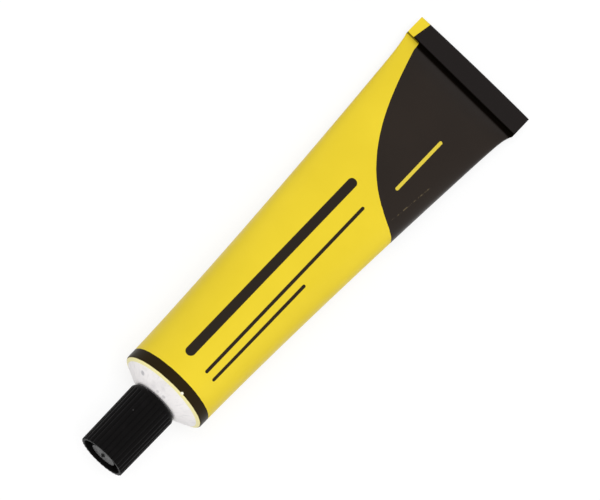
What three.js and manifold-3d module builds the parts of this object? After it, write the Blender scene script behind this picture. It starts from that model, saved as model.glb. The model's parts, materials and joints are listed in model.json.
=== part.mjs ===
// A collapsible aluminium tube of glue with a ribbed screw cap, lying on its back. Millimetres.
// The pieces are built about the nozzle's axis: local +Y runs out of the nozzle from the shoulder's edge,
// +Z is the front, where the end fold's flap lies, and +X runs across. The last lines lay the tube down.
import * as THREE from 'three';
import { mergeVertices } from 'three/addons/utils/BufferGeometryUtils.js';
import Module from 'manifold-3d';

const wasm = await Module();
wasm.setup();

// Tube wall, from the round shoulder to the flat root of the fold
const TUBE_DIAMETER = 19;
const WALL = 0.13;
const BODY_LENGTH = 87.85;
const BELLY_END = 2.8; // half thickness that the straight taper would reach at the fold
const FRONT_BULGE = 1.5; // power of the front's fall towards the fold; the back's fall is a straight line
const WIDENING_POWER = 1.42; // power of the sides' growth in width along the body
const CLOSING_LENGTH = 3.7; // reach of the slope by which the two sides close onto the fold
const FLARE = 0.73; // each side's last growth in width, close to the fold
const FLARE_LENGTH = 1.5;

// Shoulder and nozzle
const SHOULDER_HEIGHT = 2.45;
const SHOULDER_WALL = 0.5;
const SHOULDER_SLOPE = THREE.MathUtils.degToRad(28);
const NECK_RADIUS = 2.9;
const NECK_HEIGHT = 6.5;
const NECK_WALL = 0.9;
const TIP_LENGTH = 4.65;
const TIP_LEDGE = 0.4; // step in from the neck to the tip
const TIP_BORE_RADIUS = 1.0;
const TIP_WALL = 0.7; // at the mouth
const BORE_TAPER = 1.2;

// Screw thread
const THREAD_DEPTH = 0.6;
const THREAD_PITCH = 1.5;
const NECK_THREAD_TURNS = 3;
const CAP_THREAD_TURNS = 2;
const THREAD_ROOT_HALF = 0.36;
const THREAD_CREST_HALF = 0.16;
const THREAD_START = 0.9; // from the top of the shoulder
const THREAD_CLEARANCE = 0.2;
const THREAD_BITE = 0.12; // depth to which a ridge is rooted in its wall
const THREAD_END_SHARE = 0.3; // height left at the ends of a ridge

// End fold: the flattened end is turned over twice, with its flap on the front
const FOLD_HEIGHT = 4.7;
const FOLD_FILM = 0.04; // sealant between the two sheets
const FOLD_GAP = 0.1;
const FLAP_GAP = 0.2; // from the root of the fold to the flap's lower edge
const FOLD_BITE = 0.2;

// Pieces inside the tube
const MEMBRANE_THICKNESS = 0.2;
const MEMBRANE_GAP = 0.1;
const FILL_GAP = 0.3;
const FILL_HEADROOM = 1.0; // from the taper of the neck's bore down to the glue
const SEALANT_LENGTH = 3.0;
const ROOT_LENGTH = 1.0; // where the two sides are pinched together below the fold

// Screw cap and its liner
const CAP_SEAT_GAP = 0.2;
const CAP_END_RADIUS = 5.0;
const CAP_DRAFT = 0.15; // growth in radius from the free end to the lip
const CAP_FILLET = 0.9;
const RIB_COUNT = 30;
const RIB_DEPTH = 0.22;
const RIB_RUNOUT = 0.4;
const CAP_WEB = 0.7;
const CAP_STEP_GAP = 0.3;
const TIP_CLEARANCE = 0.4;
const LINER_OVERLAP = 0.6; // past the edge of the nozzle's mouth
const LINER_THICKNESS = 0.7;
const LINER_GAP = 0.15;
const RECESS_DEPTH = 2.0;
const RIM_WALL = 0.45;
const BOSS_RADIUS = 2.75; // disc in the middle of the recess, with the spike on it
const BOSS_SINK = 0.45; // from the rim's plane down to the disc
const SPIKE_RADIUS = 0.55;
const SPIKE_POINT_RADIUS = 0.12;
const SPIKE_SINK = 0.05; // from the rim's plane down to the spike's point

// Fineness of the faceted surfaces, and of the search for each section's shape
const SIDES = 40;
const BODY_STATIONS = 16;
const STATION_POWER = 1.6; // sets the stations closer together towards the fold
const FILLET_STEPS = 4;
const BEND_STEPS = 6;
const THREAD_STEPS = 24;
const FADE_STEPS = 6;
const CUT_PAST = 1; // how far a cutting solid runs past the face that it opens
const MERGE_DISTANCE = 1e-4;
const PERIMETER_POINTS = 400;
const SEARCH_STEPS = 40;
const ROUNDEST_POWER = 1.5;
const SQUAREST_POWER = 40;

// Sizes that follow from those above
const RADIUS = TUBE_DIAMETER / 2;
const PERIMETER = Math.PI * TUBE_DIAMETER;
const FOLD_WIDTH = PERIMETER / 2;
const FOLD_LAYER = 2 * WALL + FOLD_FILM;
const SEAT_RADIUS = RADIUS - SHOULDER_HEIGHT / Math.tan(SHOULDER_SLOPE); // where the cone ends
const NECK_TOP = SHOULDER_HEIGHT + NECK_HEIGHT;
const NECK_BORE_RADIUS = NECK_RADIUS - NECK_WALL;
const THREAD_RADIUS = NECK_RADIUS + THREAD_DEPTH;
const TIP_BASE_RADIUS = NECK_RADIUS - TIP_LEDGE;
const TIP_END_RADIUS = TIP_BORE_RADIUS + TIP_WALL;
const MOUTH = NECK_TOP + TIP_LENGTH;
const SIDE_TOP = BODY_LENGTH - 2 * SHOULDER_WALL; // where the inside of the wall runs into the shoulder's
const SEALANT_END = ROOT_LENGTH + FILL_GAP; // from the root of the fold, as are the next two
const SEALANT_START = SEALANT_END + SEALANT_LENGTH;
const FILL_END = SEALANT_START + FILL_GAP;
const CAP_LIP = SHOULDER_HEIGHT + CAP_SEAT_GAP;
const CAP_LIP_RADIUS = CAP_END_RADIUS + CAP_DRAFT;
const CAP_BORE_RADIUS = THREAD_RADIUS + THREAD_CLEARANCE;
const LINER_RADIUS = TIP_END_RADIUS + LINER_OVERLAP;
const LINER_BOTTOM = MOUTH + LINER_GAP;
const CAVITY_TOP = LINER_BOTTOM + LINER_THICKNESS + LINER_GAP;
const RECESS_FLOOR = CAVITY_TOP + CAP_WEB;
const CAP_END = RECESS_FLOOR + RECESS_DEPTH;

// A closed solid from a list of triangles, with its faces turned outwards.
function solid(positions, triangles) {
  const corner = (index) => new THREE.Vector3().fromArray(positions, index * 3);
  let volume = 0;
  for (let i = 0; i < triangles.length; i += 3) {
    const [a, b, c] = [0, 1, 2].map((k) => corner(triangles[i + k]));
    volume += a.dot(b.cross(c));
  }
  const outward = volume > 0 ? triangles : [...triangles].reverse();
  return new wasm.Manifold(new wasm.Mesh({
    numProp: 3,
    vertProperties: new Float32Array(positions),
    triVerts: new Uint32Array(outward),
  }));
}

// A closed solid from a closed three.js geometry.
function solidOf(geometry) {
  const bare = geometry.clone();
  bare.deleteAttribute('normal');
  bare.deleteAttribute('uv');
  const merged = mergeVertices(bare, MERGE_DISTANCE);
  const index = [...merged.index.array];
  const triangles = [];
  for (let i = 0; i < index.length; i += 3) {
    const triangle = index.slice(i, i + 3);
    if (new Set(triangle).size === 3) triangles.push(...triangle);
  }
  return solid([...merged.attributes.position.array], triangles);
}

// A skin over rings of equally many points, closed at both ends by a fan about the end ring's middle.
function loft(rings) {
  const count = rings[0].length;
  const points = rings.flat();
  const triangles = [];
  for (let ring = 0; ring + 1 < rings.length; ring += 1) {
    for (let k = 0; k < count; k += 1) {
      const a = ring * count + k;
      const b = ring * count + ((k + 1) % count);
      triangles.push(a, b, b + count, a, b + count, a + count);
    }
  }
  const close = (first, facingOn) => {
    const middle = new THREE.Vector3();
    for (let k = 0; k < count; k += 1) middle.addScaledVector(points[first + k], 1 / count);
    points.push(middle);
    for (let k = 0; k < count; k += 1) {
      const pair = [first + k, first + ((k + 1) % count)];
      triangles.push(points.length - 1, ...(facingOn ? pair : pair.reverse()));
    }
  };
  const last = (rings.length - 1) * count;
  close(0, false);
  close(last, true);
  return solid(points.flatMap((point) => point.toArray()), triangles);
}

// A turned solid from [radius, height] pairs that start and end on the axis.
function turned(profile) {
  return solidOf(new THREE.LatheGeometry(profile.map(([r, y]) => new THREE.Vector2(r, y)), SIDES));
}

function mesh(name, body, color, roughness, metalness) {
  const { vertProperties, triVerts } = body.getMesh();
  const geometry = new THREE.BufferGeometry();
  geometry.setAttribute('position', new THREE.BufferAttribute(vertProperties, 3));
  geometry.setIndex(new THREE.BufferAttribute(triVerts, 1));
  geometry.computeVertexNormals();
  const material = new THREE.MeshStandardMaterial({ color, roughness, metalness });
  const made = new THREE.Mesh(geometry, material);
  made.name = name;
  return made;
}

// Points of a superellipse section at height y, with its own front and back half thickness.
function sectionRing(y, { half, front, back, power }, inset = 0, count = SIDES) {
  const rounded = (value) => Math.sign(value) * Math.abs(value) ** (2 / power);
  return Array.from({ length: count }, (_, k) => {
    const angle = (2 * Math.PI * k) / count;
    const rise = rounded(Math.cos(angle));
    const depth = (rise > 0 ? front : back) - inset;
    return new THREE.Vector3((half - inset) * rounded(Math.sin(angle)), y, depth * rise);
  });
}

function circle(y, radius) {
  return sectionRing(y, { half: radius, front: radius, back: radius, power: 2 });
}

function perimeterOf(section) {
  const ring = sectionRing(0, section, 0, PERIMETER_POINTS);
  return ring.reduce((sum, point, k) => sum + point.distanceTo(ring[(k + 1) % ring.length]), 0);
}

// The body's section at a distance from the root of the fold. Sheet doesn't stretch, so every section
// keeps the round end's perimeter, and the power that squares the section up is found from that.
function bodySection(distance) {
  const share = 1 - distance / BODY_LENGTH;
  const open = 1 - Math.exp(-distance / CLOSING_LENGTH);
  const thickness = (power) => {
    const taper = RADIUS - (RADIUS - BELLY_END) * share ** power;
    return open * taper + ((1 - open) * FOLD_LAYER) / 2;
  };
  const flare = FLARE * Math.exp(-distance / FLARE_LENGTH);
  const section = {
    half: RADIUS + (FOLD_WIDTH / 2 - RADIUS - FLARE) * share ** WIDENING_POWER + flare,
    front: thickness(FRONT_BULGE),
    back: thickness(1),
    power: 2,
  };
  let [low, high] = [ROUNDEST_POWER, SQUAREST_POWER];
  for (let step = 0; step < SEARCH_STEPS; step += 1) {
    section.power = (low + high) / 2;
    if (perimeterOf(section) < PERIMETER) low = section.power;
    else high = section.power;
  }
  return section;
}

// Rings of the body between two distances from the root of the fold, set in from its surface.
function bodyRings(from, to, inset) {
  const stations = Array.from(
    { length: BODY_STATIONS },
    (_, i) => BODY_LENGTH * (i / BODY_STATIONS) ** STATION_POWER,
  );
  const between = stations.filter((distance) => distance > from && distance < to);
  return [from, ...between, to].map((distance) => (
    sectionRing(distance - BODY_LENGTH, bodySection(distance), inset)
  ));
}

// The shoulder as [radius, height] pairs: a cone from the edge to the flat seat under the cap's lip.
const shoulder = [[RADIUS, 0], [SEAT_RADIUS, SHOULDER_HEIGHT], [NECK_RADIUS, SHOULDER_HEIGHT]];

// Rings of the shoulder's inner side, set in by its wall and a gap, from the side wall to the neck's bore.
function shoulderRings(gap) {
  const bore = NECK_BORE_RADIUS - gap;
  const drop = SHOULDER_WALL + gap;
  return shoulder.map(([radius, y]) => {
    const share = (radius - NECK_RADIUS) / (RADIUS - NECK_RADIUS);
    return circle(y - drop, bore + (RADIUS - WALL - gap - bore) * share);
  });
}

// A screw ridge about the axis, fading in and out at its ends.
function threadRidge(rootRadius, crestRadius, start, turns) {
  const steps = turns * THREAD_STEPS;
  const rings = Array.from({ length: steps + 1 }, (_, i) => {
    const angle = (2 * Math.PI * i) / THREAD_STEPS;
    const y = start + (THREAD_PITCH * i) / THREAD_STEPS;
    const fade = Math.min(1, Math.min(i, steps - i) / FADE_STEPS);
    const height = THREAD_END_SHARE + (1 - THREAD_END_SHARE) * fade;
    const radius = rootRadius + (crestRadius - rootRadius) * height;
    return [
      [rootRadius, THREAD_ROOT_HALF],
      [radius, THREAD_CREST_HALF],
      [radius, -THREAD_CREST_HALF],
      [rootRadius, -THREAD_ROOT_HALF],
    ].map(([r, offset]) => new THREE.Vector3(r * Math.sin(angle), y + offset, r * Math.cos(angle)));
  });
  return loft(rings);
}

// The folded web's section, one unbroken layer: up the back, over the end, down the front and in again.
function foldWeb() {
  const half = FOLD_LAYER / 2;
  const step = FOLD_LAYER + FOLD_GAP;
  const over = FOLD_HEIGHT - step - half;
  const under = FLAP_GAP + step / 2 + half;
  const tuck = 1.5 * step; // halfway between the flap and the layer tucked in under it
  const quarter = Math.PI / 2;
  const web = new THREE.Shape();
  web.moveTo(-FOLD_BITE, -half);
  web.lineTo(over, -half);
  web.absarc(over, step, step + half, -quarter, quarter, false);
  web.lineTo(under, 2 * step + half);
  web.absarc(under, tuck, step / 2 + half, quarter, 3 * quarter, false);
  web.lineTo(over - FOLD_GAP, step - half);
  web.lineTo(over - FOLD_GAP, step + half);
  web.lineTo(under, step + half);
  web.absarc(under, tuck, step / 2 - half, 3 * quarter, quarter, true);
  web.lineTo(over, 2 * step - half);
  web.absarc(over, step, step - half, quarter, -quarter, true);
  web.lineTo(-FOLD_BITE, half);
  web.closePath();
  const geometry = new THREE.ExtrudeGeometry(web, {
    depth: FOLD_WIDTH,
    bevelEnabled: false,
    curveSegments: BEND_STEPS,
  });
  const turn = new THREE.Matrix4().makeBasis(
    new THREE.Vector3(0, -1, 0), new THREE.Vector3(0, 0, 1), new THREE.Vector3(-1, 0, 0),
  );
  turn.setPosition(FOLD_WIDTH / 2, -BODY_LENGTH, 0);
  return solidOf(geometry.applyMatrix4(turn));
}

// The aluminium tube: one sheet-thin shell with its shoulder, threaded nozzle and end fold.
function tubeBody() {
  const outside = loft([
    ...bodyRings(0, BODY_LENGTH, 0),
    ...shoulder.slice(1).map(([radius, y]) => circle(y, radius)),
    circle(NECK_TOP, NECK_RADIUS),
    circle(NECK_TOP, TIP_BASE_RADIUS),
    circle(MOUTH, TIP_END_RADIUS),
  ]);
  const inside = loft([
    ...bodyRings(ROOT_LENGTH, SIDE_TOP, WALL),
    ...shoulderRings(0),
    circle(NECK_TOP - BORE_TAPER, NECK_BORE_RADIUS),
    circle(NECK_TOP, TIP_BORE_RADIUS),
    circle(MOUTH + CUT_PAST, TIP_BORE_RADIUS),
  ]);
  const thread = threadRidge(
    NECK_RADIUS - THREAD_BITE, THREAD_RADIUS, SHOULDER_HEIGHT + THREAD_START, NECK_THREAD_TURNS,
  );
  return outside.add(foldWeb()).add(thread).subtract(inside);
}

// The disc that closes the nozzle's mouth until it is pierced.
function nozzleMembrane() {
  const radius = TIP_BORE_RADIUS - MEMBRANE_GAP;
  const bottom = MOUTH - MEMBRANE_THICKNESS;
  return turned([[0, bottom], [radius, bottom], [radius, MOUTH], [0, MOUTH]]);
}

// The bead of latex in the wedge where the two sides meet at the fold.
function foldSealant() {
  return loft(bodyRings(SEALANT_END, SEALANT_START, WALL + FILL_GAP));
}

// The glue, up to the neck's bore.
function glueFill() {
  return loft([
    ...bodyRings(FILL_END, SIDE_TOP - FILL_GAP, WALL + FILL_GAP),
    ...shoulderRings(FILL_GAP),
    circle(NECK_TOP - BORE_TAPER - FILL_HEADROOM, NECK_BORE_RADIUS - FILL_GAP),
  ]);
}

// A ring of the cap's outside, with a groove of the given depth between each two ribs.
function ribbedRing(y, radius, depth) {
  return Array.from({ length: 2 * RIB_COUNT }, (_, k) => {
    const angle = (Math.PI * k) / RIB_COUNT;
    const r = radius - (k % 2) * depth;
    return new THREE.Vector3(r * Math.sin(angle), y, r * Math.cos(angle));
  });
}

function screwCap() {
  const fillet = Array.from({ length: FILLET_STEPS + 1 }, (_, i) => {
    const angle = (Math.PI / 2) * (i / FILLET_STEPS);
    return ribbedRing(
      CAP_LIP + CAP_FILLET * (1 - Math.cos(angle)), CAP_LIP_RADIUS - CAP_FILLET * (1 - Math.sin(angle)), 0,
    );
  });
  const outside = loft([
    ...fillet,
    ribbedRing(CAP_LIP + CAP_FILLET + RIB_RUNOUT, CAP_LIP_RADIUS, RIB_DEPTH),
    ribbedRing(CAP_END, CAP_END_RADIUS, RIB_DEPTH),
  ]);
  const step = NECK_TOP + CAP_STEP_GAP;
  const pocket = LINER_RADIUS + LINER_GAP;
  const cavity = turned([
    [0, CAP_LIP - CUT_PAST],
    [CAP_BORE_RADIUS, CAP_LIP - CUT_PAST],
    [CAP_BORE_RADIUS, step],
    [TIP_BASE_RADIUS + TIP_CLEARANCE, step],
    [pocket, MOUTH],
    [pocket, CAVITY_TOP],
    [0, CAVITY_TOP],
  ]);
  const recessRadius = CAP_END_RADIUS - RIB_DEPTH - RIM_WALL;
  const recess = turned([
    [0, RECESS_FLOOR],
    [recessRadius, RECESS_FLOOR],
    [recessRadius, CAP_END + CUT_PAST],
    [0, CAP_END + CUT_PAST],
  ]);
  const boss = turned([
    [0, RECESS_FLOOR - CAP_WEB / 2],
    [BOSS_RADIUS, RECESS_FLOOR - CAP_WEB / 2],
    [BOSS_RADIUS, CAP_END - BOSS_SINK],
    [SPIKE_RADIUS, CAP_END - BOSS_SINK],
    [SPIKE_POINT_RADIUS, CAP_END - SPIKE_SINK],
    [0, CAP_END - SPIKE_SINK],
  ]);
  const ridge = threadRidge(
    CAP_BORE_RADIUS + THREAD_BITE,
    NECK_RADIUS + THREAD_CLEARANCE,
    SHOULDER_HEIGHT + THREAD_START + THREAD_PITCH / 2,
    CAP_THREAD_TURNS,
  );
  return outside.subtract(cavity).subtract(recess).add(boss).add(ridge);
}

// The sealing disc between the cap's closed end and the nozzle's mouth.
function capLiner() {
  const top = LINER_BOTTOM + LINER_THICKNESS;
  return turned([[0, LINER_BOTTOM], [LINER_RADIUS, LINER_BOTTOM], [LINER_RADIUS, top], [0, top]]);
}

const upright = new THREE.Group();
upright.add(
  mesh('tube_body', tubeBody(), '#e6cb3d', 0.35, 0.1),
  mesh('nozzle_membrane', nozzleMembrane(), '#cfd0d4', 0.4, 1),
  mesh('fold_sealant', foldSealant(), '#d9c79a', 0.8, 0),
  mesh('glue_fill', glueFill(), '#efe6c8', 0.15, 0),
  mesh('screw_cap', screwCap(), '#161415', 0.5, 0),
  mesh('cap_liner', capLiner(), '#e9e6dc', 0.7, 0),
);

// The tube lies along +X with its cap towards -X. The nozzle end is raised until the straight back is level.
upright.rotation.z = Math.PI / 2;
const glueTube = new THREE.Group();
glueTube.add(upright);
glueTube.rotation.y = Math.atan2(RADIUS - BELLY_END, BODY_LENGTH);

// The origin is on the ground, under the middle of the tube's box.
const box = new THREE.Box3().setFromObject(glueTube, true);
const middle = box.getCenter(new THREE.Vector3());
glueTube.position.set(-middle.x, -middle.y, -box.min.z);

export default glueTube;
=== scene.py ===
import json
import math

import bpy
import numpy as np
from mathutils import Matrix, Vector


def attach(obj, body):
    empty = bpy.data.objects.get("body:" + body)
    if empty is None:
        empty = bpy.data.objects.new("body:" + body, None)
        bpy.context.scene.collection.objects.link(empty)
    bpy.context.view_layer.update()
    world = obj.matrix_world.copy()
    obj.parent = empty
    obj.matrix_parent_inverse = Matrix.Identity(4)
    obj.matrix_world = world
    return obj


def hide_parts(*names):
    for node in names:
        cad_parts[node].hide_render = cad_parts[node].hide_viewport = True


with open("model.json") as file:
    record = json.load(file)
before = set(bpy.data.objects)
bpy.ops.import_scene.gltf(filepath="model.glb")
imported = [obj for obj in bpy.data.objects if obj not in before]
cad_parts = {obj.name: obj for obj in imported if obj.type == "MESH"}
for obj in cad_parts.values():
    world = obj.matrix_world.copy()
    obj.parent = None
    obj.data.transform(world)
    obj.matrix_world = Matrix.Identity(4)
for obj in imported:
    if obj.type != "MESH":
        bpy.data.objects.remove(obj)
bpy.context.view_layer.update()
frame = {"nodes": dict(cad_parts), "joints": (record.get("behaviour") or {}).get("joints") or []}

# Sizes are in millimetres, as in the CAD source, and MM turns them into Blender's metres.
MM = 0.001

# Tube wall, from the round shoulder to the flat root of the fold
TUBE_RADIUS = 9.5
WALL = 0.13
BODY_LENGTH = 87.85
BELLY_END = 2.8  # half thickness that the taper would have at the root
FRONT_BULGE = 1.5  # power of the front's taper
BACK_BULGE = 1  # the back is straight
WIDENING_POWER = 1.42
CLOSING_LENGTH = 3.7
FLARE = 0.73
FLARE_LENGTH = 1.5
ROOT_LENGTH = 1.0

# Shoulder and nozzle, as radii and as heights out of the nozzle from the shoulder's edge
SHOULDER_EDGE_ROUNDING = 0.3
SHOULDER_HEIGHT = 2.45
SHOULDER_WALL = 0.5
SHOULDER_SLOPE = math.radians(28)
SEAT_ROUNDING = 0.4
NECK_RADIUS = 2.9
NECK_ROUNDING = 0.3
NECK_TOP = 8.95
NECK_BORE_RADIUS = 2.0
TIP_BASE_RADIUS = 2.5
TIP_END_RADIUS = 1.7
TIP_BORE_RADIUS = 1.0
TIP_ROUNDING = 0.15
BORE_TAPER = 1.2
MOUTH = 13.6

# Screw thread
THREAD_DEPTH = 0.6
THREAD_PITCH = 1.5
THREAD_RUN_IN = 0.9  # from the shoulder to the thread's start
THREAD_START = SHOULDER_HEIGHT + THREAD_RUN_IN
THREAD_ROOT_HALF = 0.36
THREAD_CREST_HALF = 0.16
THREAD_CLEARANCE = 0.2
NECK_THREAD_TURNS = 3
CAP_THREAD_TURNS = 2
THREAD_FADE = 0.3  # turns

# End fold
FOLD_HEIGHT = 4.7
FOLD_LAYER = 0.3
FOLD_STEP = 0.4  # from the middle of one layer to the next
FLAP_GAP = 0.2
FOLD_GAP = 0.1
FOLD_DEPTHS = (0.25, 0.55)  # how much further down the fold's root lies at its +Y and its -Y end
FOLD_REACH = 9.0  # how far into the body the fold pulls the sheet along
FOLD_NARROWING = 0.3  # taken off at the +Y end
NARROWING_REACH = 2.0

# Shallow dents from handling: middle u, middle v, reach along u, reach along v, depth
DENTS = (
    (5.0, 73.0, 4.0, 7.0, 0.12),
    (-6.5, 64.0, 3.5, 9.0, 0.10),
    (1.0, 47.0, 5.0, 8.0, 0.10),
    (-4.5, 27.0, 4.0, 10.0, 0.08),
    (25.0, 58.0, 5.0, 10.0, 0.14),
    (-24.0, 36.0, 4.5, 8.0, 0.12),
)

# Screw cap
CAP_LIP = 2.65
CAP_END = 17.3
CAP_LIP_RADIUS = 5.15
CAP_END_RADIUS = 5.0
CAP_FILLET = 0.9
CAP_BORE_RADIUS = 3.7
CAP_STEP = 9.25
CAP_STEP_RADIUS = 2.9
CAP_POCKET_RADIUS = 2.45
CAP_CAVITY_TOP = 14.6
CAP_EDGE = 0.12
RIB_COUNT = 30
RIB_DEPTH = 0.22
RIB_RUNOUT = 0.4
RECESS_FLOOR = 15.3
RECESS_RADIUS = 4.33
RECESS_FILLET = 0.25
DISC_TOP = 16.85
DISC_RADIUS = 2.75
SPIKE_RADIUS = 0.55
SPIKE_FILLET = 0.1
SPIKE_POINT = 17.25
SPIKE_POINT_RADIUS = 0.12
SPIKE_POINT_ARC = (40, 80)  # degrees up from level

# Print on the sheet: u runs round the tube from the front's middle, v along it from the shoulder's edge
PRINT_REACH = 1.0  # from the shoulder's edge up its cone
PRINT_SOFTNESS = 0.07
PRINT_WOBBLE = 0.03
BAND_START = -0.14
BAND_END = 2.04
PALE_SOFTNESS = 0.1  # of the change from the band's start to the pale edge line
CHIP_PLACE = (-2.7, -0.1)
CHIP_RADIUS = 0.32
BLOCK_START = 52.8
BLOCK_CURVE = 0.0276
BLOCK_REACH = 39.7
STRIPES = (  # middle u, first v, last v, width
    (1.7, 6.0, 55.5, 2.0),
    (-3.2, 6.0, 52.5, 0.7),
    (-5.4, 6.0, 32.5, 0.7),
)
BLOCK_STRIPE = (-5.4, 60.0, 74.5, 0.7)
SCRATCH_FIRST = (-9.0, 54.75)  # u and v of the ends of a row of small scratches
SCRATCH_LAST = (-10.1, 65.5)
SCRATCH_WIDTH = 0.2
SCRATCH_FADE = 0.5

# Creases along the fold with painted shade, and dull ones: first v, last v, softness of their ends
ROOT_CREASE = (88.0, 88.6, 0.15)
FLAP_CREASE = (97.2, 98.0, 0.15)
DULL_ROOT = (86.9, 88.6, 0.7)
DULL_FLAP = (96.95, 98.0, 0.2)
PAINTED_FOLD_SHADE_SPAN = (82.0, 92.0)  # painted shade: where the block slowly darkens towards the fold
CREASE_COVER = 0.7  # how much of the colour the painted shade in the creases hides

# Marks, as places in the tube's axes and their radii
SHOULDER_MARKS = (  # place, radius, how dull
    ((-1.3, 5.32, 4.63), 0.65, 1.0),
    ((-2.11, 0.93, 5.45), 0.45, 0.5),
    ((-2.09, -0.61, 5.53), 0.5, 0.6),
)
SPECK = (-7.71, 1.8, 4.83)
SPECK_RADIUS = 0.2

# Textures: spans are the values of a noise between which something sets in
NOISE_SPAN = (0.3, 0.7)  # where nearly all values of a noise lie
DASH_SPAN = (0.46, 0.56)
CLOUD_SPAN = (0.5, 0.7)
STREAK_SPAN = (0.52, 0.74)
SCUFF_SPAN = (0.55, 0.75)
STREAK_STRETCH = (1, 0.5, 1)
SMUDGE_COVER = 0.35
TURNING_MARKS = 28.0  # radians of a ripple for each millimetre
PITS_PER_CLOUD = 6

# Gloss and roughness
ENAMEL_GLOSS = 0.09
BAND_GLOSS = 0.05
CREASE_GLOSS = 0.01
ENAMEL_ROUGHNESS = (0.3, 0.4)  # least and most handled
DULL_ROUGHNESS = 0.2  # added in the dull creases
METAL_ROUGHNESS = (0.36, 0.5)  # clean and smudged
SOFT_ROUGHNESS_SPREAD = 0.06

# Camera, fitted to the tube's outline in the photograph
IMAGE_WIDTH = 600
FOCAL_PIXELS = 2772.9
CAMERA_DISTANCE = 536.8
CAMERA_AIM = 39.33  # on the tube's axis
CAMERA_TILT = math.radians(18.62)  # from square on, towards the cap
CAMERA_ROLL = math.radians(46.2)
CAMERA_NEAREST = 10.0
SENSOR_WIDTH = 36.0

# Floor, world and lamps, with lengths in metres and light as a share of white
WHITE = (1, 1, 1, 1)
FLOOR_SIZE = 6.0
FLOOR_SHADOW = 0.25  # share of the floor's look that takes the object's shadow
FLOOR_LIT = 0.9  # how bright the lamps make that share where no shadow falls
FLOOR_BOUNCE = 0.4
SHADOW_FADE = (0.2, 0.6)  # distances between which the shadow fades away
WORLD_LEVEL = 0.37
LAMP_DISTANCE = 1.2
LAMP_SIZE = 1.0
LAMPS = (  # name, direction from the tube, level on a white surface that faces the lamp
    ("key", (-0.1, -0.05, 0.99), 0.6),
    ("cap light", (-0.95, 0.0, 0.3), 0.37),
    ("left fill", (0.3, 0.93, 0.2), 0.29),
    ("right fill", (0.3, -0.93, 0.2), 0.32),
)

# Fineness of the meshes
TUBE_SIDES = 240
SIDES_PER_RIB = 12
CAP_SIDES = RIB_COUNT * SIDES_PER_RIB
CURVE_POINTS = 2400
BODY_STATIONS = 90
STATION_CROWDING = 1.8  # packs the stations closer near the fold
INSIDE_STATIONS = 60
BEND_POINTS = 15
FLAP_POINTS = 8
TUCK_POINTS = 6
SHOULDER_EDGE_POINTS = 8
PRINTED_CONE_POINTS = 5
BARE_CONE_POINTS = 28
FOOT_POINTS = 6
FLAT_POINTS = 8
SMALL_EDGE_POINTS = 4
GROOVE_POINTS = 5
CAP_FILLET_POINTS = 12
RUNOUT_POINTS = 7
RIB_POINTS = 9
CAVITY_RING_RADII = (0.4, 1.4)
THREAD_RING_STEP = 0.06
SQUARENESS_RANGE = (1.5, 40.0)
SQUARENESS_HALVINGS = 40
SHARP_ANGLE = math.radians(40)

PERIMETER = 2 * math.pi * TUBE_RADIUS
FOLD_WIDTH = PERIMETER / 2

# The shoulder's cone, as (radius, height) pairs: the way up it, its two end corners, the print's edge
UP_CONE = np.array([-math.cos(SHOULDER_SLOPE), math.sin(SHOULDER_SLOPE)])
EDGE_CORNER = np.array([TUBE_RADIUS, 0])
SEAT_CORNER = EDGE_CORNER + SHOULDER_HEIGHT / math.sin(SHOULDER_SLOPE) * UP_CONE
PRINT_END = EDGE_CORNER + PRINT_REACH * UP_CONE

# The tube's own axes in the frame: along it from the shoulder's edge, across it, and out of its front
joints = {joint["name"]: joint for joint in frame["joints"]}
along = -Vector(joints["cap_turn"]["axis"]).normalized()
across = Vector((0, 1, 0))
front = along.cross(across)
shoulder_edge = Vector(joints["cap_turn"]["pos_m"]) + along * CAP_LIP * MM
TUBE_TO_FRAME = Matrix((along, across, front)).transposed().to_4x4()
TUBE_TO_FRAME.translation = shoulder_edge


# Meshes

def closing_faces(points, ring, kind):
    """The faces that close an end: a fan round a new middle point, or a ladder across a flat ring."""
    sides = len(ring)
    if kind == "fan":
        points.append(tuple(np.mean([points[k] for k in ring], axis=0)))
        return [(len(points) - 1, ring[k], ring[(k + 1) % sides]) for k in range(sides)]
    half, quarter = sides // 2, sides // 4
    steps = [
        (ring[k], ring[k + 1], ring[half - k - 1], ring[half - k])
        for k in range(-quarter, quarter)
    ]
    return [tuple(dict.fromkeys(step)) for step in steps]


def skinned(name, rings, lengths, slots, materials, end_kind):
    """One closed mesh over rings of points, in the tube's axes.

    lengths and slots give each ring's distance along the surface and the material of the faces that
    follow it. Both ends are closed in the same way.
    """
    rings = np.array(rings)
    stations, sides = rings.shape[:2]
    points = [tuple(point) for point in rings.reshape(-1, 3)]
    faces, corners, face_slots = [], [], []
    turns = np.arange(sides + 1) / sides * PERIMETER
    for station in range(stations - 1):
        for side in range(sides):
            a = station * sides + side
            b = station * sides + (side + 1) % sides
            faces.append((a, b, b + sides, a + sides))
            shift = 0 if side < sides / 2 else PERIMETER
            left, right = turns[side] - shift, turns[side + 1] - shift
            low, high = lengths[station], lengths[station + 1]
            corners += [(left, low, 0), (right, low, 0), (right, high, 0), (left, high, 0)]
            face_slots.append(slots[station])
    for station, turned in ((0, True), (stations - 1, False)):
        ring = [station * sides + side for side in range(sides)]
        for face in closing_faces(points, ring, end_kind):
            faces.append(face[::-1] if turned else face)
            corners += [(0, lengths[station], 0)] * len(face)
            face_slots.append(slots[station])
    mesh = bpy.data.meshes.new(name)
    mesh.from_pydata(points, [], faces)
    sheet = mesh.attributes.new("sheet", "FLOAT_VECTOR", "CORNER")
    sheet.data.foreach_set("vector", np.array(corners, np.float32).ravel())
    for material in materials:
        mesh.materials.append(material)
    mesh.polygons.foreach_set("material_index", face_slots)
    mesh.transform(TUBE_TO_FRAME @ Matrix.Scale(MM, 4))
    mesh.shade_smooth()
    mesh.set_sharp_from_angle(angle=SHARP_ANGLE)
    piece = bpy.data.objects.new(name, mesh)
    bpy.context.scene.collection.objects.link(piece)
    return piece


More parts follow.
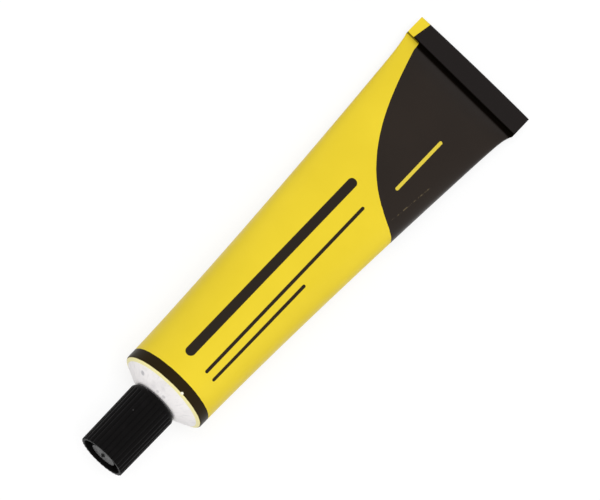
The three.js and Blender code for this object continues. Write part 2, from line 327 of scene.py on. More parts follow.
def circle(height, radius, sides):
    """A ring about the nozzle's axis, from the front towards +Y, with one radius or one for each point."""
    angle = 2 * math.pi * np.arange(sides) / sides
    radius = np.broadcast_to(radius, sides)
    return np.stack([np.full(sides, -height), radius * np.sin(angle), radius * np.cos(angle)], 1)


def bezier(first, control, last, count):
    """Points of a quadratic curve, without its first one."""
    t = np.linspace(0, 1, count + 1)[1:, None]
    return (1 - t) ** 2 * np.array(first) + 2 * t * (1 - t) * np.array(control) + t ** 2 * np.array(last)


def arc(centre, radius, from_degrees, to_degrees, count):
    """(radius, height) pairs of an arc. 0 degrees points outwards, and 90 degrees out of the nozzle."""
    angle = np.radians(np.linspace(from_degrees, to_degrees, count + 1))
    return np.stack([centre[0] + radius * np.cos(angle), centre[1] + radius * np.sin(angle)], 1)


def thread_height(height, sides, start, turns):
    """How far a screw ridge stands up at each point of a ring, as a share of the thread's depth."""
    turn = np.arange(sides) / sides
    count = np.round((height - start) / THREAD_PITCH - turn)
    place = turn + count
    off = np.abs(height - start - THREAD_PITCH * place)
    ridge = np.clip((THREAD_ROOT_HALF - off) / (THREAD_ROOT_HALF - THREAD_CREST_HALF), 0, 1)
    return ridge * np.clip(np.minimum(place, turns - place) / THREAD_FADE, 0, 1)


def section_curve(half, front_half, back_half, power):
    """A superellipse with its own front and back half thickness, from the front's middle towards +Y."""
    angle = np.linspace(0, 2 * math.pi, CURVE_POINTS + 1)
    sine, cosine = np.sin(angle), np.cos(angle)
    y = half * np.sign(sine) * np.abs(sine) ** (2 / power)
    rise = np.sign(cosine) * np.abs(cosine) ** (2 / power)
    return y, np.where(rise > 0, front_half, back_half) * rise


def distance_round(y, z):
    """The distance along a curve at each of its points."""
    return np.concatenate([[0], np.cumsum(np.hypot(np.diff(y), np.diff(z)))])


def body_section(distance):
    """The body's half width, front and back half thickness and squareness.

    distance runs from the fold's root. The sheet doesn't stretch, so the squareness is the one that
    keeps the round end's perimeter.
    """
    share = 1 - distance / BODY_LENGTH
    opened = 1 - math.exp(-distance / CLOSING_LENGTH)

    def thickness(power):
        taper = TUBE_RADIUS - (TUBE_RADIUS - BELLY_END) * share ** power
        return opened * taper + (1 - opened) * FOLD_LAYER / 2

    front_half, back_half = thickness(FRONT_BULGE), thickness(BACK_BULGE)
    flare = FLARE * math.exp(-distance / FLARE_LENGTH)
    half = TUBE_RADIUS + (FOLD_WIDTH / 2 - TUBE_RADIUS - FLARE) * share ** WIDENING_POWER + flare
    low, high = SQUARENESS_RANGE
    for _ in range(SQUARENESS_HALVINGS):
        power = (low + high) / 2
        perimeter = distance_round(*section_curve(half, front_half, back_half, power))[-1]
        if perimeter < PERIMETER:
            low = power
        else:
            high = power
    return half, front_half, back_half, power


def section_ring(distance, inset):
    """The body's section as (y, z) points at equal steps along the sheet."""
    half, front_half, back_half, power = body_section(distance)
    y, z = section_curve(half - inset, front_half - inset, back_half - inset, power)
    travelled = distance_round(y, z)
    places = np.arange(TUBE_SIDES) / TUBE_SIDES * travelled[-1]
    return np.interp(places, travelled, y), np.interp(places, travelled, z)


def body_ring(distance, inset):
    """The body's section as a ring, at a distance from the fold's root."""
    y, z = section_ring(distance, inset)
    return np.stack([np.full(TUBE_SIDES, BODY_LENGTH - distance), y, z], 1)


def fold_stations():
    """The folded web's middle line from its root, as rows of x, z, direction and length.

    It runs up the back, over the end, down the front and in again.
    """
    over = FOLD_HEIGHT - FOLD_STEP - FOLD_LAYER / 2
    under = FLAP_GAP + FOLD_STEP / 2 + FOLD_LAYER / 2

    def bend(middle, radius, z, first):
        turns = np.linspace(first, first + math.pi, BEND_POINTS)
        return [(middle + radius * math.sin(turn), z - radius * math.cos(turn), turn) for turn in turns]

    rows = [(x, 0.0, 0.0) for x in np.linspace(0, over, FLAP_POINTS)[1:-1]]
    rows += bend(over, FOLD_STEP, FOLD_STEP, 0.0)
    rows += [(x, 2 * FOLD_STEP, math.pi) for x in np.linspace(over, under, FLAP_POINTS)[1:-1]]
    rows += bend(under, FOLD_STEP / 2, 1.5 * FOLD_STEP, math.pi)
    rows += [(x, FOLD_STEP, 2 * math.pi) for x in np.linspace(under, over - FOLD_GAP, TUCK_POINTS)[1:]]
    rows = np.array(rows)
    steps = np.hypot(np.diff(rows[:, 0], prepend=0), np.diff(rows[:, 1], prepend=0))
    return np.column_stack([rows, np.cumsum(steps)])


def pulled(ring):
    """A ring near the fold, moved to the slightly crooked place where the fold was pressed."""
    x, y = ring[:, 0] - BODY_LENGTH, ring[:, 1]
    root_share = np.minimum(np.clip(1 + x / FOLD_REACH, 0, 1), 1 - x / FOLD_HEIGHT)
    narrow_share = np.clip(1 + x / NARROWING_REACH, 0, 1)
    side = 0.5 - y / FOLD_WIDTH
    ring = ring.copy()
    ring[:, 0] -= (FOLD_DEPTHS[0] + (FOLD_DEPTHS[1] - FOLD_DEPTHS[0]) * side) * root_share
    ring[:, 1] -= FOLD_NARROWING * (1 - side) * narrow_share
    return ring


def dented(ring, length):
    """A ring of the wall, pressed in a little where the tube has been held."""
    u = np.arange(TUBE_SIDES) / TUBE_SIDES * PERIMETER
    u = np.where(u > FOLD_WIDTH, u - PERIMETER, u)
    depth = np.zeros(TUBE_SIDES)
    for middle_u, middle_v, width, height, deep in DENTS:
        depth += deep * np.exp(-((u - middle_u) / width) ** 2 - ((length - middle_v) / height) ** 2)
    step = np.roll(ring, -1, 0) - np.roll(ring, 1, 0)
    outward = np.stack([np.zeros(TUBE_SIDES), -step[:, 2], step[:, 1]], 1)
    outward /= np.linalg.norm(outward, axis=1)[:, None]
    return ring - depth[:, None] * outward


def wall_ring(distance, inset):
    """A ring of the tube's wall, with its dents and the pull of the fold."""
    return pulled(dented(body_ring(distance, inset), BODY_LENGTH - distance))


def shoulder_profile():
    """(radius, height) pairs from the wall's end over the shoulder to the neck."""
    wall_end = (TUBE_RADIUS, -SHOULDER_EDGE_ROUNDING)
    cone_start = EDGE_CORNER + SHOULDER_EDGE_ROUNDING * UP_CONE
    cone_end = SEAT_CORNER - SEAT_ROUNDING * UP_CONE
    seat_start = SEAT_CORNER - (SEAT_ROUNDING, 0)
    seat_end = (NECK_RADIUS + NECK_ROUNDING, SHOULDER_HEIGHT)
    neck_start = (NECK_RADIUS, SHOULDER_HEIGHT + NECK_ROUNDING)
    return np.concatenate([
        bezier(wall_end, EDGE_CORNER, cone_start, SHOULDER_EDGE_POINTS),
        np.linspace(cone_start, PRINT_END, PRINTED_CONE_POINTS)[1:],
        np.linspace(PRINT_END, cone_end, BARE_CONE_POINTS)[1:],
        bezier(cone_end, SEAT_CORNER, seat_start, FOOT_POINTS),
        np.linspace(seat_start, seat_end, FLAT_POINTS)[1:],
        bezier(seat_end, (NECK_RADIUS, SHOULDER_HEIGHT), neck_start, FOOT_POINTS),
    ])


def nozzle_profile():
    """(radius, height) pairs from the neck's top over the tip and down the bore."""
    neck_edge = (NECK_RADIUS - TIP_ROUNDING, NECK_TOP - TIP_ROUNDING)
    ledge_end = (TIP_BASE_RADIUS + TIP_ROUNDING, NECK_TOP)
    tip_start = (TIP_BASE_RADIUS, NECK_TOP + TIP_ROUNDING)
    tip_end = (TIP_END_RADIUS, MOUTH - TIP_ROUNDING)
    mouth_edge = (TIP_END_RADIUS - TIP_ROUNDING, MOUTH)
    return np.concatenate([
        arc(neck_edge, TIP_ROUNDING, 0, 90, SMALL_EDGE_POINTS),
        [ledge_end],
        bezier(ledge_end, (TIP_BASE_RADIUS, NECK_TOP), tip_start, SMALL_EDGE_POINTS),
        np.linspace(tip_start, tip_end, FLAT_POINTS)[1:],
        bezier(tip_end, (TIP_END_RADIUS, MOUTH), mouth_edge, SMALL_EDGE_POINTS),
        [(TIP_BORE_RADIUS, MOUTH), (TIP_BORE_RADIUS, NECK_TOP)],
        [(NECK_BORE_RADIUS, NECK_TOP - BORE_TAPER), (NECK_BORE_RADIUS, SHOULDER_HEIGHT - SHOULDER_WALL)],
    ])


def tube_piece(materials):
    """The aluminium tube: fold, wall, shoulder, threaded nozzle and the inside, as one skin."""
    enamel, band, crease, bare = range(4)
    rings, lengths, slots = [], [], []

    def add(ring, length, slot):
        rings.append(ring)
        lengths.append(length)
        slots.append(slot)

    def zone(place):
        """The finish at a place along the printed sheet."""
        if BAND_START < place < BAND_END:
            return band
        for first, last, _ in (DULL_ROOT, DULL_FLAP):
            if first < place < last:
                return crease
        return enamel

    root_y, root_z = section_ring(0, 0)
    for x, z, turn, length in fold_stations()[::-1]:
        x_ring = BODY_LENGTH + x - root_z * math.sin(turn)
        ring = np.stack([x_ring, root_y, z + root_z * math.cos(turn)], 1)
        add(pulled(ring), BODY_LENGTH + length, enamel)
    to_band = (BODY_LENGTH - BAND_END) * np.linspace(0, 1, BODY_STATIONS) ** STATION_CROWDING
    to_wall_end = BODY_LENGTH - SHOULDER_EDGE_ROUNDING
    for distance in (*to_band, to_wall_end):
        add(wall_ring(distance, 0), BODY_LENGTH - distance, enamel)

    length = SHOULDER_EDGE_ROUNDING
    before = (TUBE_RADIUS, -SHOULDER_EDGE_ROUNDING)
    wall_end = body_ring(to_wall_end, 0)
    for radius, height in shoulder_profile():
        length -= math.dist(before, (radius, height))
        before = (radius, height)
        ring = circle(height, radius, TUBE_SIDES)
        if height < 0:
            ring[:, 1:] = wall_end[:, 1:] * radius / TUBE_RADIUS
        add(ring, length, enamel if radius > PRINT_END[0] else bare)
    neck_start, neck_end = SHOULDER_HEIGHT + NECK_ROUNDING, NECK_TOP - TIP_ROUNDING
    for height in np.arange(neck_start, neck_end, THREAD_RING_STEP)[1:]:
        ridge = THREAD_DEPTH * thread_height(height, TUBE_SIDES, THREAD_START, NECK_THREAD_TURNS)
        add(circle(height, NECK_RADIUS + ridge, TUBE_SIDES), length - height, bare)
    for radius, height in nozzle_profile():
        add(circle(height, radius, TUBE_SIDES), length - height, bare)

    inner_radius = TUBE_RADIUS - WALL
    seat_share = (SEAT_CORNER[0] - NECK_RADIUS) / (TUBE_RADIUS - NECK_RADIUS)
    inner_seat = NECK_BORE_RADIUS + (inner_radius - NECK_BORE_RADIUS) * seat_share
    for share in np.linspace(0, 1, FLAT_POINTS):
        radius = inner_seat + (inner_radius - inner_seat) * share
        add(circle(SHOULDER_HEIGHT * (1 - share) - SHOULDER_WALL, radius, TUBE_SIDES), length, bare)
    for distance in np.linspace(BODY_LENGTH - 2 * SHOULDER_WALL, ROOT_LENGTH, INSIDE_STATIONS):
        add(wall_ring(distance, WALL), length, bare)
    for station, ends in enumerate(zip(lengths, lengths[1:])):
        if slots[station] == enamel:
            slots[station] = zone(sum(ends) / 2)
    return skinned("tube_shell", rings, lengths, slots, materials, "ladder")


def recess_profile():
    """(radius, height) pairs from the cap's rim through the groove and up to its raised disc."""
    groove_middle = RECESS_FLOOR + RECESS_FILLET
    return np.concatenate([
        arc((RECESS_RADIUS + CAP_EDGE, CAP_END - CAP_EDGE), CAP_EDGE, 90, 180, SMALL_EDGE_POINTS),
        arc((RECESS_RADIUS - RECESS_FILLET, groove_middle), RECESS_FILLET, 0, -90, GROOVE_POINTS),
        arc((DISC_RADIUS + RECESS_FILLET, groove_middle), RECESS_FILLET, -90, -180, GROOVE_POINTS),
    ])


def disc_profile():
    """(radius, height) pairs over the cap's raised disc and up its spike."""
    disc_edge = (DISC_RADIUS - CAP_EDGE, DISC_TOP)
    spike_foot = (SPIKE_RADIUS + SPIKE_FILLET, DISC_TOP)
    spike_start = (SPIKE_RADIUS - SPIKE_FILLET, DISC_TOP + SPIKE_FILLET)
    point_middle = (0, SPIKE_POINT - SPIKE_POINT_RADIUS)
    return np.concatenate([
        arc((DISC_RADIUS - CAP_EDGE, DISC_TOP - CAP_EDGE), CAP_EDGE, 0, 90, SMALL_EDGE_POINTS),
        np.linspace(disc_edge, spike_foot, FLAT_POINTS)[1:],
        bezier(spike_foot, (SPIKE_RADIUS, DISC_TOP), spike_start, SMALL_EDGE_POINTS),
        arc(point_middle, SPIKE_POINT_RADIUS, *SPIKE_POINT_ARC, SMALL_EDGE_POINTS),
    ])


def cap_piece(materials):
    """The screw cap: the threaded bore, the ribbed outside and the recess with its spike, as one skin."""
    moulded, smooth = range(2)
    rings, profile, slots = [], [], []
    ribs = RIB_DEPTH * (1 - np.abs(np.cos(np.arange(CAP_SIDES) / CAP_SIDES * math.pi * RIB_COUNT)))

    def add(height, radius, slot=moulded):
        rings.append(circle(height, radius, CAP_SIDES))
        profile.append((float(np.max(radius)), height))
        slots.append(slot)

    for radius in (*CAVITY_RING_RADII, CAP_POCKET_RADIUS):
        add(CAP_CAVITY_TOP, radius)
    add(MOUTH, CAP_POCKET_RADIUS)
    add(CAP_STEP, CAP_STEP_RADIUS)
    bore_start = THREAD_START + THREAD_PITCH / 2
    bore_depth = CAP_BORE_RADIUS - NECK_RADIUS - THREAD_CLEARANCE
    for height in np.arange(CAP_STEP, CAP_LIP + CAP_EDGE, -THREAD_RING_STEP):
        ridge = bore_depth * thread_height(height, CAP_SIDES, bore_start, CAP_THREAD_TURNS)
        add(height, CAP_BORE_RADIUS - ridge)
    add(CAP_LIP, CAP_BORE_RADIUS + CAP_EDGE)

    fillet_centre = (CAP_LIP_RADIUS - CAP_FILLET, CAP_LIP + CAP_FILLET)
    for radius, height in arc(fillet_centre, CAP_FILLET, -90, 0, CAP_FILLET_POINTS):
        add(height, radius)
    rib_start = CAP_LIP + CAP_FILLET
    for share in np.linspace(0, 1, RUNOUT_POINTS)[1:]:
        add(rib_start + RIB_RUNOUT * share, CAP_LIP_RADIUS - ribs * math.sin(share * math.pi / 2))
    for share in np.linspace(0, 1, RIB_POINTS)[1:]:
        height = rib_start + RIB_RUNOUT + (CAP_END - CAP_EDGE - rib_start - RIB_RUNOUT) * share
        add(height, CAP_LIP_RADIUS + (CAP_END_RADIUS - CAP_LIP_RADIUS) * share - ribs)
    rim_centre = (CAP_END_RADIUS - CAP_EDGE, CAP_END - CAP_EDGE)
    for radius, height in arc(rim_centre, CAP_EDGE, 0, 90, SMALL_EDGE_POINTS)[1:]:
        add(height, radius - ribs)

    for radius, height in recess_profile():
        add(height, radius)
    for radius, height in disc_profile():
        add(height, radius, smooth)
    steps = np.hypot(*np.diff(profile, axis=0).T)
    lengths = np.concatenate([[0], np.cumsum(steps)])
    return skinned("cap_shell", rings, lengths, slots, materials, "fan")


# Materials

def srgb(red, green, blue):
    """A colour as it is written for a screen, 0 to 255, as the shader's own linear values."""
    shares = [value / 255 for value in (red, green, blue)]
    linear = [((s + 0.055) / 1.055) ** 2.4 if s > 0.04045 else s / 12.92 for s in shares]
    return (*linear, 1.0)


# Colours, as a darker and a lighter shade where they are uneven
YELLOW = (srgb(232, 205, 48), srgb(240, 213, 53))
PALE_YELLOW = srgb(250, 241, 178)
STRIPE_YELLOW = srgb(226, 203, 70)
CHIP_WHITE = srgb(248, 244, 226)
STRIPE_BLACK = srgb(39, 32, 25)
BAND_BLACK = (srgb(35, 26, 10), srgb(42, 33, 15))
BLOCK_BLACK = (srgb(38, 32, 28), srgb(43, 36, 31))
# The next three are painted shade: towards the fold, in its dull creases and in all its creases
PAINTED_FOLD_SHADE_BLACK = srgb(28, 24, 23)
PAINTED_DULL_CREASE_BLACK = srgb(9, 6, 4)
PAINTED_CREASE_SHADE = srgb(10, 7, 3)
SCRATCH_BROWN = srgb(98, 86, 64)
SHOULDER_METAL = srgb(252, 248, 247)
FOIL_METAL = srgb(238, 238, 240)
SMUDGE_GREY = srgb(196, 194, 196)
CAP_BLACK = (srgb(7, 6, 6), srgb(16, 14, 15))
SPECK_GREY = srgb(96, 94, 95)
LATEX = (srgb(196, 172, 120), srgb(222, 203, 158))
GLUE = (srgb(226, 214, 178), srgb(242, 234, 206))
FOAM = (srgb(224, 220, 208), srgb(240, 237, 229))


class Graph:
    """A node tree that is put together step by step."""

    def __init__(self, tree):
        self.tree = tree

    def put(self, socket, value):
        """Links another node's output to a socket, or sets the socket to a plain value."""
        if isinstance(value, bpy.types.NodeSocket):
            self.tree.links.new(value, socket)
        else:
            socket.default_value = value

    def node(self, kind, inputs=None, **settings):
        """A new shader node, with its inputs given by their names or numbers."""
        node = self.tree.nodes.new("ShaderNode" + kind)
        for name, setting in settings.items():
            setattr(node, name, setting)
        for key, value in (inputs or {}).items():
            self.put(node.inputs[key], value)
        return node

    def math(self, operation, *values, clamp=False):
        inputs = dict(enumerate(values))
        return self.node("Math", inputs, operation=operation, use_clamp=clamp).outputs[0]

    def between(self, value, low, high, to_low=0.0, to_high=1.0):
        """value from low to high, turned into to_low to to_high and held there."""
        inputs = dict(enumerate((value, low, high, to_low, to_high)))
        return self.node("MapRange", inputs).outputs[0]

    def here(self):
        """The place in the object's own metres, which are the frame's."""
        return self.node("TexCoord").outputs["Object"]

    def seen_directly(self):
        """1 for a ray from the camera, off a gloss or through glass, and 0 for one that only lights."""
        path = self.node("LightPath").outputs
        seen = self.math("MAXIMUM", path["Is Camera Ray"], path["Is Glossy Ray"])
        return self.math("MAXIMUM", seen, path["Is Transmission Ray"])


class Finish(Graph):
    """A material around one Principled shader."""

    def __init__(self, name):
        self.material = bpy.data.materials.new(name)
        self.material.use_nodes = True
        super().__init__(self.material.node_tree)

    def blend(self, share, first, second):
        """A colour between two others. The mixing node has its colours at inputs 6 and 7 and output 2."""
        return self.node("Mix", {0: share, 6: first, 7: second}, data_type="RGBA").outputs[2]

    def noise(self, scale, detail, rough=0.5):
        """Noise over the frame's own metres."""
        return self.noise_over(self.here(), scale, detail, rough)

    def noise_over(self, place, scale, detail, rough, stretch=(1, 1, 1)):
        """Noise over any place. A larger stretch packs it closer along that axis."""
        mapped = self.node("Mapping", {"Vector": place, "Scale": stretch}).outputs[0]
        inputs = {"Vector": mapped, "Scale": scale, "Detail": detail, "Roughness": rough}
        return self.node("TexNoise", inputs).outputs[0]

    def spot(self, place, radius):
        """1 close to a place in the tube's axes, falling to 0 at the radius."""
        middle = TUBE_TO_FRAME @ (Vector(place) * MM)
        away = self.node("VectorMath", {0: self.here(), 1: middle}, operation="DISTANCE")
        return self.between(away.outputs["Value"], radius * MM, radius * MM / 2)

    def sheet(self):
        """The place on the sheet, whole and as u and v."""
        place = self.node("Attribute", attribute_name="sheet").outputs["Vector"]
        parts = self.node("SeparateXYZ", {0: place}).outputs
        return place, parts[0], parts[1]

    def bump(self, height, depth, strength=1.0, under=None):
        """A normal that is tilted by a height of up to depth millimetres, over another normal if given."""
        inputs = {"Strength": strength, "Distance": depth * MM, "Height": height}
        if under is not None:
            inputs["Normal"] = under
        return self.node("Bump", inputs).outputs[0]

    def grainy(self, roughness, grain, spread):
        """A roughness that varies a little with the grain."""
        return self.math("ADD", roughness, self.between(grain, *NOISE_SPAN, -spread, spread))

    def finish(self, **values):
        """The material, with the shader's inputs given by their names."""
        shader = self.tree.nodes["Principled BSDF"]
        for name, value in values.items():
            self.put(shader.inputs[name.replace("_", " ")], value)
        return self.material


class Print(Finish):
    """A material that is printed on the flat sheet. Its shapes are 1 where they cover the sheet."""

    def __init__(self, name):
        super().__init__(name)
        self.place, self.u, self.v = self.sheet()
        noise = self.noise(scale=900, detail=3)
        wobble = self.between(noise, *NOISE_SPAN, -PRINT_WOBBLE, PRINT_WOBBLE)
        self.rough_v = self.math("ADD", self.v, wobble)

    def cover(self, depth, softness=PRINT_SOFTNESS):
        """The cover by a shape, from how deep inside its edge a point lies."""
        return self.math("MULTIPLY_ADD", depth, 1 / softness, 0.5, clamp=True)

    def inside(self, place, first, last):
        """How deep a place along the sheet lies between two others."""
        past_first = self.math("SUBTRACT", place, first)
        return self.math("MINIMUM", past_first, self.math("SUBTRACT", last, place))

    def away(self, first, second):
        """The distance from two square offsets."""
        squares = [self.math("MULTIPLY", offset, offset) for offset in (first, second)]
        return self.math("SQRT", self.math("ADD", *squares))

    def stretch(self, first, last, softness):
        """All of the sheet between two places along it, with soft ends."""
        return self.cover(self.inside(self.v, first, last), softness)

    def stripe(self, middle, first, last, width):
        """A line along the tube, with round ends."""
        side = self.math("SUBTRACT", self.u, middle)
        off = self.math("ABSOLUTE", self.math("SUBTRACT", self.rough_v, (first + last) / 2))
        past = self.math("MAXIMUM", self.math("SUBTRACT", off, (last - first - width) / 2), 0.0)
        return self.cover(self.math("SUBTRACT", width / 2, self.away(side, past)))

    def band(self):
        """The black band at the shoulder."""
        return self.cover(self.inside(self.rough_v, BAND_START, BAND_END))

    def chip(self):
        """A spot at the band's edge where the print has come off."""
        offsets = [self.math("SUBTRACT", *pair) for pair in zip((self.u, self.v), CHIP_PLACE)]
        return self.cover(self.math("SUBTRACT", CHIP_RADIUS, self.away(*offsets)))

    def block(self):
        """The black end, which is longest at the tube's -Y side and curves away from there."""
        from_side = self.math("PINGPONG", self.math("ADD", self.u, FOLD_WIDTH / 2), FOLD_WIDTH)
        squared = self.math("MULTIPLY", from_side, from_side)
        narrowing = self.math("SUBTRACT", 1.0, self.math("MULTIPLY", squared, 1 / BLOCK_REACH ** 2))
        rise = self.math("DIVIDE", self.math("MULTIPLY", squared, BLOCK_CURVE), narrowing)
        past_start = self.math("SUBTRACT", self.rough_v, BLOCK_START)
        return self.cover(self.math("SUBTRACT", past_start, rise))

    def scratches(self):
        """A leaning row of small scratches in the black end."""
        (first_u, first_v), (last_u, last_v) = SCRATCH_FIRST, SCRATCH_LAST
        lean = (last_u - first_u) / (last_v - first_v)
        middle = self.math("MULTIPLY_ADD", self.v, lean, first_u - lean * first_v)
        off = self.math("ABSOLUTE", self.math("SUBTRACT", self.u, middle))
        line = self.cover(self.math("SUBTRACT", SCRATCH_WIDTH / 2, off))
        line = self.math("MULTIPLY", line, self.stretch(first_v, last_v, SCRATCH_FADE))
        noise = self.noise_over(self.place, scale=0.8, detail=3, rough=0.6)
        return self.math("MULTIPLY", line, self.between(noise, *DASH_SPAN))


def enamel_colour(f, dulled_and_shaded):
    """The colours of the print, with painted shade towards the fold and in its creases."""
    patches = f.between(f.noise(scale=55, detail=4), *NOISE_SPAN)
    chip = f.chip()
    yellow = f.blend(patches, *YELLOW)
    before_band = f.between(f.v, BAND_START + PALE_SOFTNESS, BAND_START - PALE_SOFTNESS)
    yellow = f.blend(before_band, yellow, PALE_YELLOW)
    yellow = f.blend(chip, yellow, CHIP_WHITE)
    black = f.blend(patches, *BLOCK_BLACK)
    # painted shade: the black end darkens towards the fold
    black = f.blend(f.between(f.v, *PAINTED_FOLD_SHADE_SPAN), black, PAINTED_FOLD_SHADE_BLACK)
    # painted shade: near black in the dull creases
    black = f.blend(dulled_and_shaded, black, PAINTED_DULL_CREASE_BLACK)
    black = f.blend(f.scratches(), black, SCRATCH_BROWN)

    colour = yellow
    for line in STRIPES:
        colour = f.blend(f.stripe(*line), colour, STRIPE_BLACK)
    band = f.math("SUBTRACT", f.band(), chip, clamp=True)
    colour = f.blend(band, colour, f.blend(patches, *BAND_BLACK))
    colour = f.blend(f.block(), colour, black)
    colour = f.blend(f.stripe(*BLOCK_STRIPE), colour, STRIPE_YELLOW)
    # painted shade in the creases of the fold
    in_crease = f.math("MAXIMUM", f.stretch(*ROOT_CREASE), f.stretch(*FLAP_CREASE))
    return f.blend(f.math("MULTIPLY", in_crease, CREASE_COVER), colour, PAINTED_CREASE_SHADE)


def enamel_finish(name, gloss):
    """Yellow and black enamel printed on the flat sheet before the tube was filled and folded."""
    f = Print(name)
    # the dull creases are rougher and also get painted shade
    dulled_and_shaded = f.math("MAXIMUM", f.stretch(*DULL_ROOT), f.stretch(*DULL_FLAP))
    grain = f.noise(scale=2600, detail=3)
    orange_peel = f.noise(scale=420, detail=2)
    handling = f.noise(scale=90, detail=5, rough=0.6)
    normal = f.bump(orange_peel, depth=0.02, strength=0.5)
    normal = f.bump(grain, depth=0.004, strength=0.6, under=normal)
    handled = f.between(handling, *NOISE_SPAN, *ENAMEL_ROUGHNESS)
    roughness = f.grainy(handled, grain, spread=0.03)
    return f.finish(
        Base_Color=enamel_colour(f, dulled_and_shaded),
        Roughness=f.math("MULTIPLY_ADD", dulled_and_shaded, DULL_ROUGHNESS, roughness),
        Specular_IOR_Level=gloss,
        Normal=normal,
    )


def aluminium_finish(name, tint, metallic):
    """Bare impact-extruded aluminium, with faint turning marks round the nozzle and dull smudges."""
    f = Finish(name)
    place, _, v = f.sheet()
    cloud = f.noise(scale=260, detail=4, rough=0.6)
    cloud = f.between(cloud, *CLOUD_SPAN, 0, SMUDGE_COVER)
    streak = f.noise_over(place, scale=0.9, detail=4, rough=0.6, stretch=STREAK_STRETCH)
    streak = f.between(streak, *STREAK_SPAN, 0, SMUDGE_COVER)
    smudge = f.math("MAXIMUM", cloud, streak)
    for middle, radius, dullness in SHOULDER_MARKS:
        mark = f.math("MULTIPLY", f.spot(middle, radius), dullness)
        smudge = f.math("MAXIMUM", smudge, mark)
    grain = f.noise(scale=1700, detail=3)
    turned = f.math("SINE", f.math("MULTIPLY", v, TURNING_MARKS))
    normal = f.bump(turned, depth=0.004, strength=0.35)
    normal = f.bump(grain, depth=0.012, strength=0.5, under=normal)
    roughness = f.between(smudge, 0, 1, *METAL_ROUGHNESS)
    return f.finish(
        Base_Color=f.blend(smudge, tint, SMUDGE_GREY),
        Metallic=metallic,
        Roughness=f.grainy(roughness, grain, spread=0.04),
        Normal=normal,
    )


def plastic_finish(name, gloss, roughness, waviness):
    """Black moulded plastic: a fine texture, slight waves, rougher scuffs and one pale speck.

    roughness is a pair, for the clean and the scuffed plastic.
    """
    f = Finish(name)
    grain = f.noise(scale=2400, detail=3)
    scuff = f.between(f.noise(scale=300, detail=6, rough=0.65), *SCUFF_SPAN)
    colour = f.blend(scuff, *CAP_BLACK)
    colour = f.blend(f.spot(SPECK, SPECK_RADIUS), colour, SPECK_GREY)
    normal = f.bump(f.noise(scale=650, detail=3), depth=waviness)
    normal = f.bump(grain, depth=0.012, strength=0.6, under=normal)
    return f.finish(
        Base_Color=colour,
        Roughness=f.grainy(f.between(scuff, 0, 1, *roughness), grain, spread=0.04),
        Specular_IOR_Level=gloss,
        Normal=normal,
    )


def soft_finish(name, shades, roughness, scale):
    """A plain cast or poured stuff with cloudy colour and a soft, uneven surface."""
    f = Finish(name)
    cloud = f.between(f.noise(scale, detail=4), *NOISE_SPAN)
    pits = f.noise(scale * PITS_PER_CLOUD, detail=3)
    smoothest, roughest = roughness - SOFT_ROUGHNESS_SPREAD, roughness + SOFT_ROUGHNESS_SPREAD
    return f.finish(
        Base_Color=f.blend(cloud, *shades),
        Roughness=f.between(cloud, 0, 1, smoothest, roughest),
        Normal=f.bump(pits, depth=0.03, strength=0.5),
    )


# The pieces on their bodies

tube = tube_piece([
    enamel_finish("enamel_print", ENAMEL_GLOSS),
    enamel_finish("enamel_band", BAND_GLOSS),
    enamel_finish("enamel_crease", CREASE_GLOSS),
    aluminium_finish("bare_shoulder", SHOULDER_METAL, metallic=0.03),
])
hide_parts("tube_body")
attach(tube, "tube")

cap = cap_piece([
    plastic_finish("black_moulded_plastic", gloss=0.07, roughness=(0.45, 0.6), waviness=0.02),
    plastic_finish("smooth_cap_disc", gloss=0.085, roughness=(0.26, 0.42), waviness=0.15),
])
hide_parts("screw_cap")
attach(cap, "cap")

node_finishes = {
    "nozzle_membrane": aluminium_finish("membrane_foil", FOIL_METAL, metallic=1.0),
    "fold_sealant": soft_finish("latex_sealant", LATEX, roughness=0.7, scale=260),
    "glue_fill": soft_finish("clear_glue", GLUE, roughness=0.18, scale=90),
    "cap_liner": soft_finish("foamed_liner", FOAM, roughness=0.75, scale=500),
}
for node_name, node_finish in node_finishes.items():
    node_object = frame["nodes"][node_name]
    node_object.data.materials.clear()
    node_object.data.materials.append(node_finish)


# Camera

toward_fold = along * math.cos(CAMERA_TILT) + front * math.sin(CAMERA_TILT)
back = front * math.cos(CAMERA_TILT) - along * math.sin(CAMERA_TILT)
right = toward_fold * math.cos(CAMERA_ROLL) - across * math.sin(CAMERA_ROLL)
up = toward_fold * math.sin(CAMERA_ROLL) + across * math.cos(CAMERA_ROLL)
camera = bpy.data.objects.new("camera", bpy.data.cameras.new("camera"))
camera.data.sensor_fit = "HORIZONTAL"
camera.data.sensor_width = SENSOR_WIDTH
camera.data.lens = FOCAL_PIXELS / IMAGE_WIDTH * SENSOR_WIDTH
camera.matrix_world = Matrix((right, up, back)).transposed().to_4x4()
camera.location = shoulder_edge + (along * CAMERA_AIM + back * CAMERA_DISTANCE) * MM
camera.data.clip_start = CAMERA_NEAREST * MM
bpy.context.scene.collection.objects.link(camera)
bpy.context.scene.camera = camera


# Floor, world and lamps

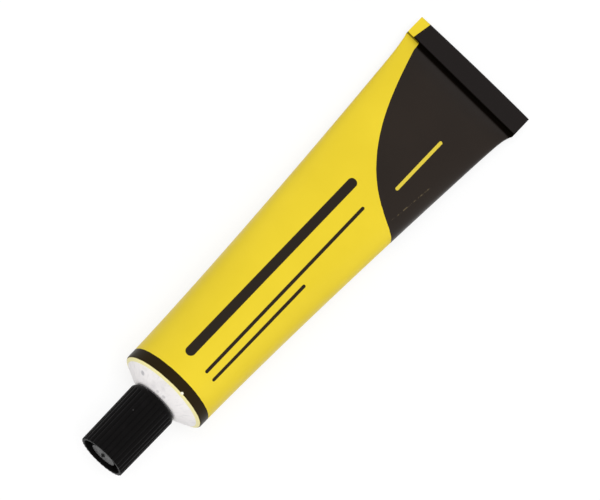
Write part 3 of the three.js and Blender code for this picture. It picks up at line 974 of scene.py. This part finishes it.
def floor_material():
    """White to the eye apart from a light shadow, and a dimmer matt surface for all other light."""
    material = bpy.data.materials.new("white_floor")
    material.use_nodes = True
    graph = Graph(material.node_tree)
    graph.tree.nodes.clear()

    def matt(level):
        return graph.node("BsdfDiffuse", {"Color": (level, level, level, 1)}).outputs[0]

    def glow(strength):
        return graph.node("Emission", {"Color": WHITE, "Strength": strength}).outputs[0]

    def mixed(share, first, second):
        return graph.node("MixShader", {0: share, 1: first, 2: second}).outputs[0]

    rest_of_white = glow(1 - FLOOR_LIT * FLOOR_SHADOW)
    shadowed = graph.node("AddShader", {0: matt(FLOOR_SHADOW), 1: rest_of_white}).outputs[0]
    distance = graph.node("VectorMath", {0: graph.here()}, operation="LENGTH").outputs["Value"]
    look = mixed(graph.between(distance, *SHADOW_FADE), shadowed, glow(1.0))
    surface = mixed(graph.seen_directly(), matt(FLOOR_BOUNCE), look)
    graph.node("OutputMaterial", {"Surface": surface})
    return material


half_floor = FLOOR_SIZE / 2
floor_mesh = bpy.data.meshes.new("floor")
floor_corners = [(x * half_floor, y * half_floor, 0) for x, y in ((-1, -1), (1, -1), (1, 1), (-1, 1))]
floor_mesh.from_pydata(floor_corners, [], [(0, 1, 2, 3)])
floor_mesh.materials.append(floor_material())
floor = bpy.data.objects.new("floor", floor_mesh)
bpy.context.scene.collection.objects.link(floor)

world = bpy.data.worlds.new("studio")
world.use_nodes = True
bpy.context.scene.world = world
sky = Graph(world.node_tree)
background = sky.tree.nodes["Background"]
sky.put(background.inputs["Color"], WHITE)
sky.put(background.inputs["Strength"], sky.between(sky.seen_directly(), 0, 1, WORLD_LEVEL, 1))


def lamp(name, direction, lit):
    """A soft square lamp that looks at the tube and lights a white surface facing it to about lit."""
    data = bpy.data.lights.new(name, "AREA")
    data.size = LAMP_SIZE
    data.energy = lit * math.pi ** 2 * LAMP_DISTANCE ** 2
    made = bpy.data.objects.new(name, data)
    direction = Vector(direction).normalized()
    made.location = direction * LAMP_DISTANCE
    made.rotation_mode = "QUATERNION"
    made.rotation_quaternion = direction.to_track_quat("Z", "Y")
    made.visible_glossy = False
    bpy.context.scene.collection.objects.link(made)


for lamp_name, lamp_direction, lamp_level in LAMPS:
    lamp(lamp_name, lamp_direction, lamp_level)

bpy.context.scene.view_settings.view_transform = "Standard"
